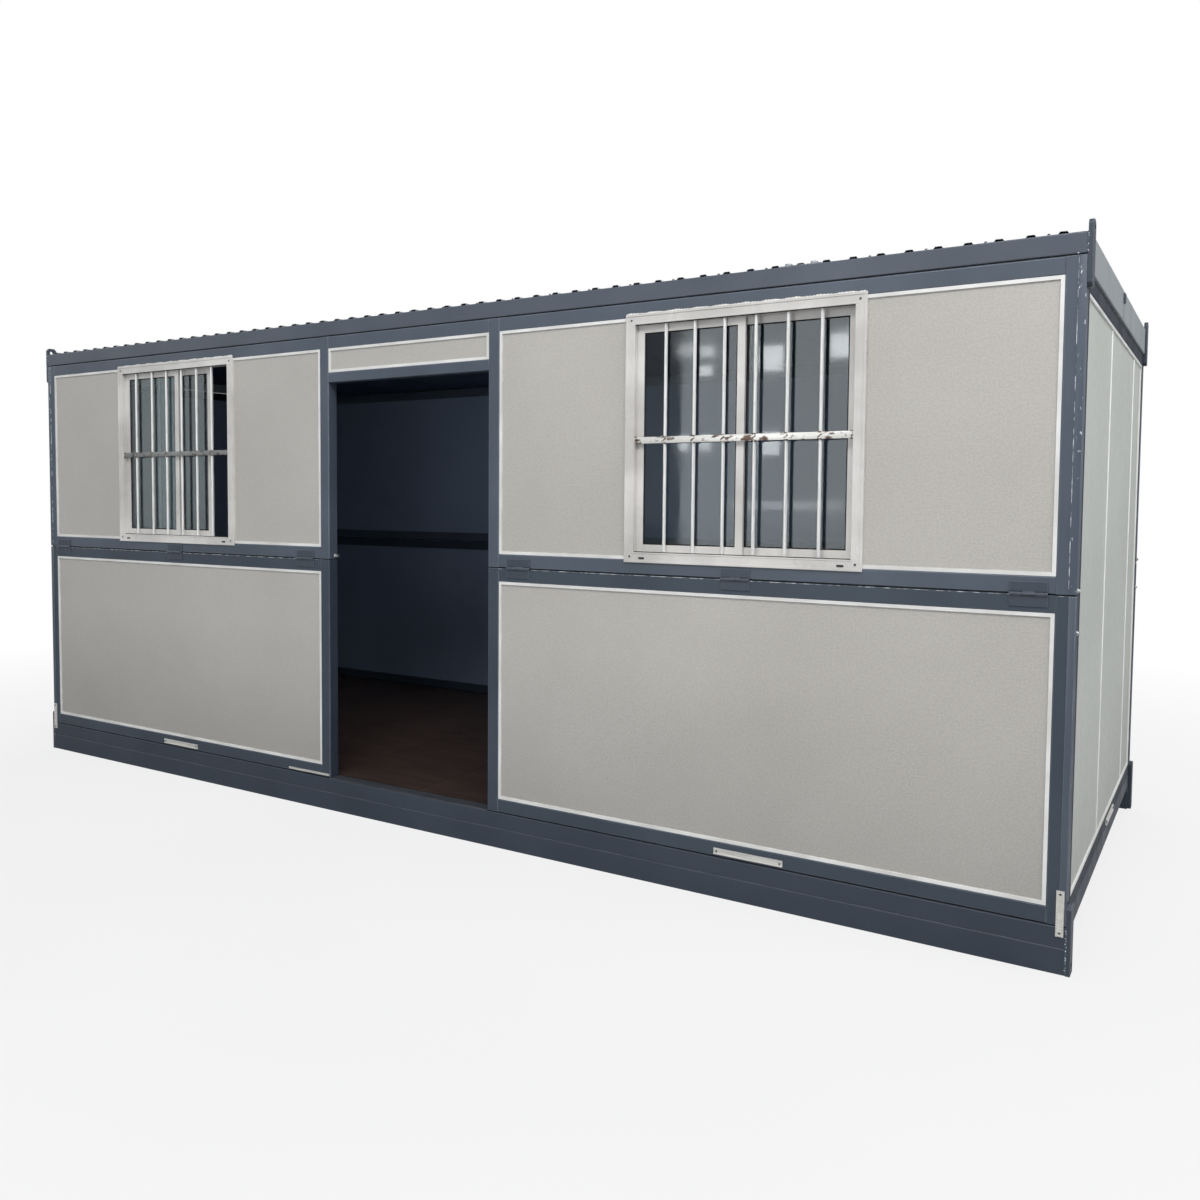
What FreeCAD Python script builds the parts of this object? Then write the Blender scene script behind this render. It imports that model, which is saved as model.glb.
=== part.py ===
"""Foldable container house: a steel base, two long walls that are each a lower and an upper half
hinged at mid height, two end walls hung from the roof, and a steel roof with a ribbed sheet.

Millimetres. +Z is up, X runs along the house, -Y is the front with the doorway and the windows.
The origin is the middle of the footprint at ground level.
"""
import FreeCAD, Part
import math
import os

# Overall size of the steelwork
length = 5850.0
width = 2430.0
base_height = 165.0
half_wall_height = 1120.0
wall_gap = 5.0
roof_beam_height = 70.0

# Tubes of the base and the roof
beam_depth = 80.0
beam_wall = 4.0
skid_height = 92.0
base_end_beam_rise = 22.0
base_end_beam_height = 69.0
roof_end_beam_height = 124.0
roof_end_beam_depth = 68.0
roof_end_overhang = 8.0
joist_width = 40.0
joist_height = 70.0
joist_count = 13
purlin_width = 40.0
purlin_height = 60.0
purlin_count = 9
edge_round = 4.0
frame_edge = 3.0

# Tubes, panels and seals of the long walls
wall_thickness = 60.0
foot_rail = 60.0
fold_rail = 60.0
end_stile_width = 65.0
middle_stile_width = 60.0
panel_thickness = 44.0
panel_recess = 8.0
seal_setback = 6.0

# Doorway
door_width = 1000.0
door_post_width = 60.0
door_head_height = 50.0
transom_height = 120.0
sill_height = 4.0
sill_depth = 66.0

# Windows
window_width = 1000.0
flange_overlap = 14.0
flange_lip = 12.0
flange_thickness = 5.0
flange_face = 43.0
frame_depth = 52.0
track_setback = 20.0
sash_face = 32.0
sash_depth = 14.0
sash_gap = 3.0
sash_overlap = 36.0
glass_thickness = 5.0
right_sash_slide = 0.0
left_sash_slide = 180.0

# White beads round the panels
bead_width = 13.0
bead_thickness = 6.0

# End walls
end_wall_thickness = 60.0
end_wall_side_gap = 6.0
end_wall_foot_gap = 7.0
end_wall_head_gap = 8.0
end_stile = 27.0
end_foot_rail = 46.0
end_head_rail = 51.0
end_panel_seams = (-285.0, 735.0)
seam_gap = 2.0

# Floor and ceiling
floor_thickness = 18.0
ceiling_thickness = 10.0
board_gap = 2.0

# Roof sheet
sheet_thickness = 1.5
rib_height = 8.0
rib_pitch = 100.0
rib_top = 22.0
rib_foot = 34.0
sheet_setback = 8.0

# Hinges at mid height of the long walls
inner_hinge_inset = 110.0
outer_hinge_inset = 148.0
leaf_length = 122.0
leaf_height = 43.0
leaf_thickness = 4.0
leaf_edge_gap = 8.0
knuckle_radius = 6.0
pin_radius = 3.0
pin_fit = 0.05
knuckle_gap = 1.0
fold_rod_sides = 8

# Hinges at the head of the end walls
end_hinge_inset = 350.0
end_leaf_length = 110.0
end_leaf_height = 46.0
end_leaf_thickness = 5.0
end_leaf_edge_gap = 9.0
end_knuckle_radius = 7.0
end_pin_radius = 4.0

# Corner lugs
lug_thickness = 16.0
lug_width = 60.0
foot_lug_height = 245.0
head_lug_height = 220.0
lug_rise = 40.0
lug_hole_radius = 13.0
lug_hole_edge = 28.0
lug_corner = 14.0
lug_slot_width = 12.0
lug_slot_height = 28.0
lug_slot_drop = 46.0

# Lock bars on the foot of the walls
lock_bar_length = 290.0
lock_bar_width = 26.0
lock_bar_thickness = 4.0
lock_bar_ridge = 3.0
lock_bar_lift = 8.0
door_bar_width = 10.0
corner_bar_length = 158.0
corner_bar_edge = 7.0
corner_bar_drop = 32.0
right_bar_offset = 70.0
left_bar_offset = 32.0
end_bar_place = 160.0

# Heights and planes worked out from the sizes above
half_length = length / 2
half_width = width / 2
lower_foot = base_height + wall_gap
lower_head = lower_foot + half_wall_height
upper_foot = lower_head + wall_gap
upper_head = upper_foot + half_wall_height
eaves_height = upper_head + wall_gap
roof_height = eaves_height + roof_beam_height
fold_height = (lower_head + upper_foot) / 2
wall_inside = half_width - wall_thickness
beam_inside = half_width - beam_depth
panel_end = half_length - end_stile_width
door_half = door_width / 2
post_outside = door_half + door_post_width
section_middle = (post_outside + panel_end) / 2
lower_open = (lower_foot + foot_rail, lower_head - fold_rail)
upper_open = (upper_foot + fold_rail, upper_head - foot_rail)
door_head_top = upper_open[1] - transom_height
base_end_head = base_height + base_end_beam_rise
base_end_foot = base_end_head - base_end_beam_height
base_end_inside = half_length - beam_depth
roof_end_outside = half_length + roof_end_overhang
roof_end_inside = roof_end_outside - roof_end_beam_depth
roof_end_underside = roof_height - roof_end_beam_height
end_wall_inside = half_length - end_wall_thickness
end_wall_foot = base_end_head + end_wall_foot_gap
end_wall_head = roof_end_underside - end_wall_head_gap
end_wall_half = wall_inside - end_wall_side_gap
end_axis_height = (end_wall_head + roof_end_underside) / 2
end_axis_x = end_wall_inside - end_knuckle_radius - pin_fit
end_hinge_y = end_wall_half - end_hinge_inset
purlin_foot = roof_height - purlin_height
ceiling_underside = purlin_foot - ceiling_thickness


def block(x0, x1, y0, y1, z0, z1):
    """A box between two corners, whatever their order."""
    xs, ys, zs = sorted((x0, x1)), sorted((y0, y1)), sorted((z0, z1))
    corner = FreeCAD.Vector(xs[0], ys[0], zs[0])
    return Part.makeBox(xs[1] - xs[0], ys[1] - ys[0], zs[1] - zs[0], corner)


def long_edges(shape, axis):
    """The four edges of a box that run along one axis."""
    along = FreeCAD.Vector(*[1 if name == axis else 0 for name in "xyz"])
    edges = []
    for edge in shape.Edges:
        direction = edge.Vertexes[1].Point - edge.Vertexes[0].Point
        if direction.cross(along).Length < 0.001:
            edges.append(edge)
    return edges


def bar(x0, x1, y0, y1, z0, z1, axis):
    """A member of a wall frame along one axis, its four long edges eased."""
    shape = block(x0, x1, y0, y1, z0, z1)
    return shape.makeChamfer(frame_edge, long_edges(shape, axis))


def tube(x0, x1, y0, y1, z0, z1, axis):
    """A hollow section with round corners, open at its two ends."""
    outside = block(x0, x1, y0, y1, z0, z1)
    outside = outside.makeFillet(edge_round, long_edges(outside, axis))
    low = FreeCAD.Vector(min(x0, x1), min(y0, y1), z0)
    high = FreeCAD.Vector(max(x0, x1), max(y0, y1), z1)
    wall = FreeCAD.Vector(*[0 if name == axis else beam_wall for name in "xyz"])
    low_in, high_in = low + wall, high - wall
    return outside.cut(block(low_in.x, high_in.x, low_in.y, high_in.y, low_in.z, high_in.z))


def rod(start, direction, radius, size):
    return Part.makeCylinder(radius, size, FreeCAD.Vector(*start), FreeCAD.Vector(*direction))


def joined(shapes):
    """One solid from pieces that are welded together."""
    return shapes[0].multiFuse(shapes[1:]).removeSplitter()


def ring(x0, x1, z0, z1, border, y0, y1):
    """A flat rectangular ring standing in the XZ plane."""
    outer = block(x0, x1, y0, y1, z0, z1)
    inner = block(x0 + border, x1 - border, y0, y1, z0 + border, z1 - border)
    return outer.cut(inner)


def mirrored_x(shape):
    return shape.mirror(FreeCAD.Vector(0, 0, 0), FreeCAD.Vector(1, 0, 0))


def mirrored_y(shape):
    return shape.mirror(FreeCAD.Vector(0, 0, 0), FreeCAD.Vector(0, 1, 0))


def both_ends(shapes):
    """The pieces of one end and the same ones at the other."""
    return [*shapes, *[mirrored_x(shape) for shape in shapes]]


def both_sides(shapes):
    """The pieces of the front and the same ones at the back."""
    return [*shapes, *[mirrored_y(shape) for shape in shapes]]


def save(name, shapes):
    """One STEP file holds one node, which may be several solids."""
    solids = [solid for shape in shapes for solid in shape.Solids]
    whole = solids[0] if len(solids) == 1 else Part.makeCompound(solids)
    whole.exportStep("parts/" + name + ".step")


# The base: two long beams, two end beams, joists and the floor


def base_long_beam():
    """A skid tube with the floor beam welded on it, which shows as a deep beam with a line along it."""
    skid = tube(-half_length, half_length, -half_width, -beam_inside, 0, skid_height, "x")
    upper = tube(-half_length, half_length, -half_width, -beam_inside, skid_height, base_height, "x")
    return joined([skid, upper])


def base_end_beam():
    return tube(base_end_inside, half_length, -beam_inside, beam_inside, base_end_foot, base_end_head, "y")


def floor_joists():
    """Joists between the long beams, evenly spaced between the end beams."""
    top = base_height - floor_thickness
    step = 2 * base_end_inside / (joist_count + 1)
    joists = []
    for number in range(1, joist_count + 1):
        x = -base_end_inside + number * step
        side = joist_width / 2
        joists.append(block(x - side, x + side, -beam_inside, beam_inside, top - joist_height, top))
    return joists


def floor_board():
    side = beam_inside - board_gap
    end = base_end_inside - board_gap
    return block(-end, end, -side, side, base_height - floor_thickness, base_height)


# The long walls: a welded frame with a panel in it for each half, and seals where they meet


def wall_frame(uprights, z0, z1, opening):
    """The frame of a half wall: uprights at the x ranges given, and a rail below and above between them."""
    y0, y1 = -half_width, -wall_inside
    members = [bar(*upright, y0, y1, z0, z1, "z") for upright in uprights]
    for (_, x0), (x1, _) in zip(uprights, uprights[1:]):
        members.append(bar(x0, x1, y0, y1, z0, opening[0], "x"))
        members.append(bar(x0, x1, y0, y1, opening[1], z1, "x"))
    return joined(members)


def door_head_rails():
    """The rail over the doorway and the length of top rail over the transom panel."""
    y0, y1 = -half_width, -wall_inside
    return [
        bar(-door_half, door_half, y0, y1, door_head_top - door_head_height, door_head_top, "x"),
        bar(-door_half, door_half, y0, y1, upper_open[1], upper_head, "x"),
    ]


def panel(x0, x1, z0, z1):
    """A sandwich panel, set back from the outside of its frame."""
    face = -half_width + panel_recess
    return block(x0, x1, face, face + panel_thickness, z0, z1)


def bead(x0, x1, z0, z1):
    """The white bead that holds a panel, on the panel and against the frame."""
    face = -half_width + panel_recess
    return ring(x0, x1, z0, z1, bead_width, face - bead_thickness, face)


def door_sill():
    face = -half_width
    return block(-door_half, door_half, face, face + sill_depth, base_height, base_height + sill_height)


def seals(z0, z1, inner):
    """A rubber seal in the gap between two frames, set back from both faces."""
    y0, y1 = -half_width + seal_setback, -wall_inside - seal_setback
    if inner == 0:
        return [block(-half_length + seal_setback, half_length - seal_setback, y0, y1, z0, z1)]
    return both_ends([block(inner + seal_setback, half_length - seal_setback, y0, y1, z0, z1)])


# The windows, drawn for the right-hand one; the left-hand one is the same unit further left

window_low = section_middle - window_width / 2
window_high = section_middle + window_width / 2
body_low = window_low + flange_overlap
body_high = window_high - flange_overlap
opening_low = window_low + flange_face
opening_high = window_high - flange_face
opening_foot = upper_open[0] - flange_lip + flange_face
opening_head = upper_open[1] + flange_lip - flange_face
left_window_shift = -2 * section_middle


def window_frame(shift):
    """The fixed frame: a flange on the wall, the frame behind it and a return to the panels."""
    face = -half_width
    behind = face + frame_depth
    low, high = window_low + shift, window_high + shift
    foot, head = upper_open
    flange = block(low, high, face - flange_thickness, face, foot - flange_lip, head + flange_lip)
    edge = block(low, high, face, face + panel_recess, foot, head)
    body = block(body_low + shift, body_high + shift, face, behind, foot, head)
    hole = block(
        opening_low + shift, opening_high + shift, face - flange_thickness, behind,
        opening_foot, opening_head,
    )
    return joined([flange, edge, body]).cut(hole)


def sash_places(shift, slide):
    """The x range and front plane of each sash. The one on the right runs behind the other."""
    middle = section_middle + shift
    track = -half_width + track_setback
    outer = (opening_low + shift, middle + sash_overlap / 2, track)
    inner = (middle - sash_overlap / 2 - slide, opening_high + shift - slide, track + sash_depth + sash_gap)
    return outer, inner


def sash_frames(shift, slide):
    frames = []
    for x0, x1, y in sash_places(shift, slide):
        frames.append(ring(x0, x1, opening_foot, opening_head, sash_face, y, y + sash_depth))
    return frames


def sash_glass(shift, slide):
    panes = []
    for x0, x1, y in sash_places(shift, slide):
        face = y + (sash_depth - glass_thickness) / 2
        panes.append(block(
            x0 + sash_face, x1 - sash_face, face, face + glass_thickness,
            opening_foot + sash_face, opening_head - sash_face,
        ))
    return panes


# The hinges of the long walls: two leaves and a pin on the outside, where the halves meet

fold_axis_y = -half_width - knuckle_radius - pin_fit


def fold_rod(x0, x1, radius):
    """A rod on the fold's axis, drawn with flat sides because it is thin. Radius is to a flat."""
    corner = radius / math.cos(math.pi / fold_rod_sides)
    points = []
    for number in range(fold_rod_sides):
        angle = (number + 0.5) * 2 * math.pi / fold_rod_sides
        out, up = corner * math.cos(angle), corner * math.sin(angle)
        points.append(FreeCAD.Vector(x0, fold_axis_y + out, fold_height + up))
    face = Part.Face(Part.makePolygon([*points, points[0]]))
    return face.extrude(FreeCAD.Vector(x1 - x0, 0, 0))


def fold_leaf_plate(x0, x1, z0, z1):
    return block(x0, x1, -half_width - leaf_thickness, -half_width, z0, z1)


def fold_knuckle(x0, x1, z_edge):
    """A knuckle with the neck that carries it from the leaf's edge."""
    return fold_rod(x0, x1, knuckle_radius).fuse(fold_leaf_plate(x0, x1, fold_height, z_edge))


def lower_leaf(x):
    """The leaf on the lower half, with a knuckle at each end and the pin fixed in them."""
    x0, x1 = x - leaf_length / 2, x + leaf_length / 2
    third = leaf_length / 3
    edge = fold_height - leaf_edge_gap
    return joined([
        fold_leaf_plate(x0, x1, fold_height - leaf_height, edge),
        fold_knuckle(x0, x0 + third, edge),
        fold_knuckle(x1 - third, x1, edge),
        fold_rod(x0, x1, pin_radius),
    ])


def upper_leaf(x):
    """The leaf on the upper half, with the middle knuckle, free on the pin."""
    x0, x1 = x - leaf_length / 2, x + leaf_length / 2
    k0, k1 = x0 + leaf_length / 3 + knuckle_gap, x1 - leaf_length / 3 - knuckle_gap
    edge = fold_height + leaf_edge_gap
    plate = fold_leaf_plate(x0, x1, edge, fold_height + leaf_height)
    return joined([plate, fold_knuckle(k0, k1, edge)]).cut(fold_rod(k0, k1, pin_radius + pin_fit))


# The end walls: a light frame with three panels, hung from the roof on hinges inside

end_open_half = end_wall_half - end_stile
end_open = (end_wall_foot + end_foot_rail, end_wall_head - end_head_rail)
end_panel_face = half_length - panel_recess


def end_frame():
    x0, x1 = end_wall_inside, half_length
    side, inner = end_wall_half, end_open_half
    return joined([
        bar(x0, x1, -side, -inner, end_wall_foot, end_wall_head, "z"),
        bar(x0, x1, inner, side, end_wall_foot, end_wall_head, "z"),
        bar(x0, x1, -inner, inner, end_wall_foot, end_open[0], "y"),
        bar(x0, x1, -inner, inner, end_open[1], end_wall_head, "y"),
    ])


def end_panels():
    """Three panels side by side, with a narrow open joint between neighbours."""
    lows = [-end_open_half, *[seam + seam_gap / 2 for seam in end_panel_seams]]
    highs = [*[seam - seam_gap / 2 for seam in end_panel_seams], end_open_half]
    x0 = end_panel_face - panel_thickness
    return [block(x0, end_panel_face, y0, y1, *end_open) for y0, y1 in zip(lows, highs)]


def end_bead():
    x0, x1 = end_panel_face, end_panel_face + bead_thickness
    outer = block(x0, x1, -end_open_half, end_open_half, *end_open)
    side = end_open_half - bead_width
    return outer.cut(block(x0, x1, -side, side, end_open[0] + bead_width, end_open[1] - bead_width))


def end_wall_leaf(y):
    """The moving leaf, on the inside of the end wall's head, with the middle knuckle."""
    y0, y1 = y - end_leaf_length / 2, y + end_leaf_length / 2
    k0, k1 = y0 + end_leaf_length / 3 + knuckle_gap, y1 - end_leaf_length / 3 - knuckle_gap
    x0 = end_wall_inside - end_leaf_thickness
    edge = end_axis_height - end_leaf_edge_gap
    start, along, size = (end_axis_x, k0, end_axis_height), (0, 1, 0), k1 - k0
    leaf = joined([
        block(x0, end_wall_inside, y0, y1, end_axis_height - end_leaf_height, edge),
        block(x0, end_wall_inside, k0, k1, edge, end_axis_height),
        rod(start, along, end_knuckle_radius, size),
    ])
    return leaf.cut(rod(start, along, end_pin_radius + pin_fit, size))


def roof_leaf(y):
    """The fixed leaf, on the inside of the roof's end beam, with the outer knuckles and the pin."""
    y0, y1 = y - end_leaf_length / 2, y + end_leaf_length / 2
    third = end_leaf_length / 3
    x0 = roof_end_inside - end_leaf_thickness
    neck_face = min(x0, end_wall_inside - end_leaf_thickness)
    edge = end_axis_height + end_leaf_edge_gap
    pieces = [
        block(x0, roof_end_inside, y0, y1, edge, end_axis_height + end_leaf_height),
        rod((end_axis_x, y0, end_axis_height), (0, 1, 0), end_pin_radius, end_leaf_length),
    ]
    for k0, k1 in ((y0, y0 + third), (y1 - third, y1)):
        pieces.append(rod((end_axis_x, k0, end_axis_height), (0, 1, 0), end_knuckle_radius, third))
        pieces.append(block(neck_face, end_wall_inside, k0, k1, end_axis_height, roof_end_underside))
        pieces.append(block(neck_face, roof_end_inside, k0, k1, roof_end_underside, edge))
    return joined(pieces)


# The roof: beams, purlins, the ceiling and the ribbed sheet


def roof_long_beam():
    return tube(-half_length, half_length, -half_width, -beam_inside, eaves_height, roof_height, "x")


def roof_end_beam():
    return tube(
        roof_end_inside, roof_end_outside, -beam_inside, beam_inside, roof_end_underside, roof_height, "y",
    )


def roof_purlins():
    step = 2 * roof_end_inside / (purlin_count + 1)
    purlins = []
    for number in range(1, purlin_count + 1):
        x = -roof_end_inside + number * step
        side = purlin_width / 2
        purlins.append(block(x - side, x + side, -beam_inside, beam_inside, purlin_foot, roof_height))
    return purlins


def ceiling_board():
    side = beam_inside - board_gap
    end = roof_end_inside - end_leaf_thickness - board_gap
    return block(-end, end, -side, side, ceiling_underside, purlin_foot)


def roof_sheet():
    """A ribbed sheet: one outline drawn along the house and pulled across it."""
    end = half_length - sheet_setback
    rib_count = int(2 * end // rib_pitch)
    outline = [(-end, 0.0)]
    for number in range(rib_count):
        middle = (number + 0.5 - rib_count / 2) * rib_pitch
        outline += [
            (middle - rib_foot / 2, 0.0), (middle - rib_top / 2, rib_height),
            (middle + rib_top / 2, rib_height), (middle + rib_foot / 2, 0.0),
        ]
    outline.append((end, 0.0))
    side = half_width - sheet_setback
    upper = [FreeCAD.Vector(x, -side, roof_height + sheet_thickness + z) for x, z in outline]
    lower = [FreeCAD.Vector(x, -side, roof_height + z) for x, z in reversed(outline)]
    face = Part.Face(Part.makePolygon([*upper, *lower, upper[0]]))
    return face.extrude(FreeCAD.Vector(0, 2 * side, 0))


# Corner lugs and lock bars


def lug(z0, z1, hole_height, free_ends):
    """A plate welded on the end of a long beam, with an eye for a shackle and cut corners."""
    plate = block(half_length, half_length + lug_thickness, -half_width, -half_width + lug_width, z0, z1)
    corners = [edge for edge in long_edges(plate, "x") if edge.Vertexes[0].Z in free_ends]
    plate = plate.makeChamfer(lug_corner, corners)
    middle = -half_width + lug_width / 2
    return plate.cut(rod((half_length, middle, hole_height), (1, 0, 0), lug_hole_radius, lug_thickness))


def lug_slot(middle_height):
    """The slot for a tie hook, cut under the eye of a roof lug."""
    middle = -half_width + lug_width / 2
    y0, y1 = middle - lug_slot_width / 2, middle + lug_slot_width / 2
    z0 = middle_height - lug_slot_height / 2
    return block(half_length, half_length + lug_thickness, y0, y1, z0, z0 + lug_slot_height)


def lock_bar(size, across):
    """A flat bar lying along X from the origin and facing the front, with two ridges along it."""
    face, crest = lock_bar_thickness, lock_bar_thickness + lock_bar_ridge
    ridge = across / 4
    slope = ridge / 4
    outline = [(0, 0), (face, 0), (crest, slope), (crest, ridge - slope), (face, ridge)]
    outline += [(out, across - up) for out, up in reversed(outline)]
    points = [FreeCAD.Vector(0, -out, up) for out, up in outline]
    return Part.Face(Part.makePolygon([*points, points[0]])).extrude(FreeCAD.Vector(size, 0, 0))


def front_lock_bars():
    """Two along the foot of the wall, a narrow one by the doorway and one up each corner."""
    face = -half_width
    z0 = lower_foot + lock_bar_lift
    bars = []
    for middle in (section_middle + right_bar_offset, -section_middle + left_bar_offset):
        place = FreeCAD.Vector(middle - lock_bar_length / 2, face, z0)
        bars.append(lock_bar(lock_bar_length, lock_bar_width).translated(place))
    place = FreeCAD.Vector(-door_half - corner_bar_edge - lock_bar_length, face, z0)
    bars.append(lock_bar(lock_bar_length, door_bar_width).translated(place))
    upright = lock_bar(corner_bar_length, lock_bar_width)
    upright.rotate(FreeCAD.Vector(0, 0, 0), FreeCAD.Vector(0, 1, 0), -90)
    place = FreeCAD.Vector(half_length - corner_bar_edge, face, base_height - corner_bar_drop)
    corner = upright.translated(place)
    return [*bars, corner, mirrored_x(corner)]


def end_lock_bar():
    """The bar on the foot of the end wall, made like the front ones and turned to face the end."""
    shape = lock_bar(lock_bar_length, lock_bar_width)
    shape.rotate(FreeCAD.Vector(0, 0, 0), FreeCAD.Vector(0, 0, 1), 90)
    foot = end_wall_foot + lock_bar_lift
    return shape.translated(FreeCAD.Vector(half_length, end_bar_place - lock_bar_length / 2, foot))


def build_base():
    save("base_long_beams", both_sides([base_long_beam()]))
    save("base_end_beams", both_ends([base_end_beam()]))
    save("floor_joists", floor_joists())
    save("floor_board", [floor_board()])
    save("base_corner_lugs", both_ends(both_sides([
        lug(0, foot_lug_height, lug_hole_edge, (foot_lug_height,)),
    ])))


def build_front():
    uprights = ((door_half, post_outside), (panel_end, half_length))
    lower = wall_frame(uprights, lower_foot, lower_head, lower_open)
    upper = wall_frame(uprights, upper_foot, upper_head, upper_open)
    save("front_lower_frames", both_ends([lower]))
    save("front_upper_frames", both_ends([upper]))
    save("front_lower_panels", both_ends([panel(post_outside, panel_end, *lower_open)]))
    save("front_upper_panels", both_ends([
        panel(post_outside, body_low, *upper_open),
        panel(body_high, panel_end, *upper_open),
    ]))
    save("door_head_rails", door_head_rails())
    save("transom_panel", [panel(-door_half, door_half, door_head_top, upper_open[1])])
    save("door_sill", [door_sill()])
    behind_window = block(window_low, window_high, -half_width, 0, *upper_open)
    beads = both_ends([
        bead(post_outside, panel_end, *lower_open),
        bead(post_outside, panel_end, *upper_open).cut(behind_window),
    ])
    save("front_beads", [*beads, bead(-door_half, door_half, door_head_top, upper_open[1])])


def build_windows():
    windows = ((0.0, right_sash_slide), (left_window_shift, left_sash_slide))
    save("window_frames", [window_frame(shift) for shift, slide in windows])
    save("window_sashes", [sash for shift, slide in windows for sash in sash_frames(shift, slide)])
    save("window_glass", [pane for shift, slide in windows for pane in sash_glass(shift, slide)])


def build_back():
    half_stile = middle_stile_width / 2
    uprights = ((-half_length, -panel_end), (-half_stile, half_stile), (panel_end, half_length))
    heights = (
        ("back_lower", lower_foot, lower_head, lower_open),
        ("back_upper", upper_foot, upper_head, upper_open),
    )
    beads = []
    for name, z0, z1, opening in heights:
        save(name + "_frame", [mirrored_y(wall_frame(uprights, z0, z1, opening))])
        save(name + "_panels", both_ends([mirrored_y(panel(half_stile, panel_end, *opening))]))
        beads += both_ends([mirrored_y(bead(half_stile, panel_end, *opening))])
    save("back_beads", beads)


def build_wall_fittings():
    foot, fold, head = (base_height, lower_foot), (lower_head, upper_foot), (upper_head, eaves_height)
    front_seals = [*seals(*foot, door_half), *seals(*fold, door_half), *seals(*head, 0)]
    back_seals = [mirrored_y(strip) for heights in (foot, fold, head) for strip in seals(*heights, 0)]
    save("wall_seals", [*front_seals, *back_seals])
    places = (post_outside + inner_hinge_inset, section_middle, half_length - outer_hinge_inset)
    lower = both_ends([lower_leaf(x) for x in places])
    upper = both_ends([upper_leaf(x) for x in places])
    save("front_hinge_lower_leaves", lower)
    save("front_hinge_upper_leaves", upper)
    save("back_hinge_lower_leaves", [mirrored_y(leaf) for leaf in lower])
    save("back_hinge_upper_leaves", [mirrored_y(leaf) for leaf in upper])
    save("front_lock_bars", front_lock_bars())


def build_end_walls():
    pieces = (
        ("end_frame", [end_frame()]),
        ("end_panels", end_panels()),
        ("end_bead", [end_bead()]),
        ("end_hinge_leaves", both_sides([end_wall_leaf(end_hinge_y)])),
        ("end_lock_bar", [end_lock_bar()]),
    )
    for name, shapes in pieces:
        save("right_" + name, shapes)
        save("left_" + name, [mirrored_x(shape) for shape in shapes])


def build_roof():
    save("roof_long_beams", both_sides([roof_long_beam()]))
    save("roof_end_beams", both_ends([roof_end_beam()]))
    save("roof_hinge_leaves", both_ends(both_sides([roof_leaf(end_hinge_y)])))
    save("roof_purlins", roof_purlins())
    save("ceiling_board", [ceiling_board()])
    save("roof_sheet", [roof_sheet()])
    top = roof_height + lug_rise
    foot = top - head_lug_height
    eye_height = top - lug_hole_edge
    head_lug = lug(foot, top, eye_height, (foot, top)).cut(lug_slot(eye_height - lug_slot_drop))
    save("roof_corner_lugs", both_ends(both_sides([head_lug])))


os.makedirs("parts", exist_ok=True)
build_base()
build_front()
build_windows()
build_back()
build_wall_fittings()
build_end_walls()
build_roof()
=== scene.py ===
import math

import bmesh
import bpy
from mathutils import Matrix, Vector


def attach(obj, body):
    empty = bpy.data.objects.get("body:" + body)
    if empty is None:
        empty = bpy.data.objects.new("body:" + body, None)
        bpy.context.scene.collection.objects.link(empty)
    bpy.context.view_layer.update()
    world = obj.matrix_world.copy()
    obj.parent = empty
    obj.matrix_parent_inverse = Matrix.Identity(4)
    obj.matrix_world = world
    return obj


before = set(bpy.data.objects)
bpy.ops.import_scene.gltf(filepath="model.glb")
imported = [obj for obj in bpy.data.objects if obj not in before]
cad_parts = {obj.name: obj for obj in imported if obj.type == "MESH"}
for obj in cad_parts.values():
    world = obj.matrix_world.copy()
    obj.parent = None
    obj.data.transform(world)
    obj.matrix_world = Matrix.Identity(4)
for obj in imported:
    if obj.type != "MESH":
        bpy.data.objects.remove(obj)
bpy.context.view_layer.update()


# The photographer's stand
# The house was taken from the yard, a little right of its middle and at eye height, so the
# long front runs away to the left and the right-hand end shows as a narrow strip.

lens_data = bpy.data.cameras.new("yard_camera")
lens_data.sensor_width = 36.0
lens_data.lens = 31.826
lens_data.shift_x = 0.0426
lens_data.shift_y = -0.0365
lens_data.dof.use_dof = False
lens_data.clip_start = 0.05
lens_data.clip_end = 200.0
camera = bpy.data.objects.new("yard_camera", lens_data)
bpy.context.scene.collection.objects.link(camera)
stand = Matrix.Translation((3.3706, -5.1168, 1.6020))
turn = Matrix.Rotation(math.radians(33.055), 4, "Z")
tilt = Matrix.Rotation(math.radians(90.0 - 3.046), 4, "X")
roll = Matrix.Rotation(math.radians(0.339), 4, "Z")
camera.matrix_world = stand @ turn @ tilt @ roll
bpy.context.scene.camera = camera


# The studio: a plain pale floor under soft light
# Wide lamps stand high in front, at the right-hand end and behind, with a weak one at the
# left, and the pale sky round the floor lights the rest.

def shade(red, green, blue):
    """A colour from its 0 to 255 screen values, as light adds up."""
    steps = []
    for value in (red, green, blue):
        part = value / 255.0
        steps.append(part / 12.92 if part <= 0.04045 else ((part + 0.055) / 1.055) ** 2.4)
    return (*steps, 1.0)


def start_finish(name, colour, roughness, metallic=0.0):
    """A new finish with its shader, before its pattern is added."""
    finish = bpy.data.materials.new(name)
    finish.use_nodes = True
    shader = finish.node_tree.nodes["Principled BSDF"]
    shader.inputs["Base Color"].default_value = colour
    shader.inputs["Roughness"].default_value = roughness
    shader.inputs["Metallic"].default_value = metallic
    return finish, shader


def add_node(finish, kind, **sockets):
    """A node of the finish, with its unlinked sockets set by name."""
    node = finish.node_tree.nodes.new(kind)
    for socket, value in sockets.items():
        node.inputs[socket.replace("_", " ")].default_value = value
    return node


def link(finish, source, target):
    finish.node_tree.links.new(source, target)


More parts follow.
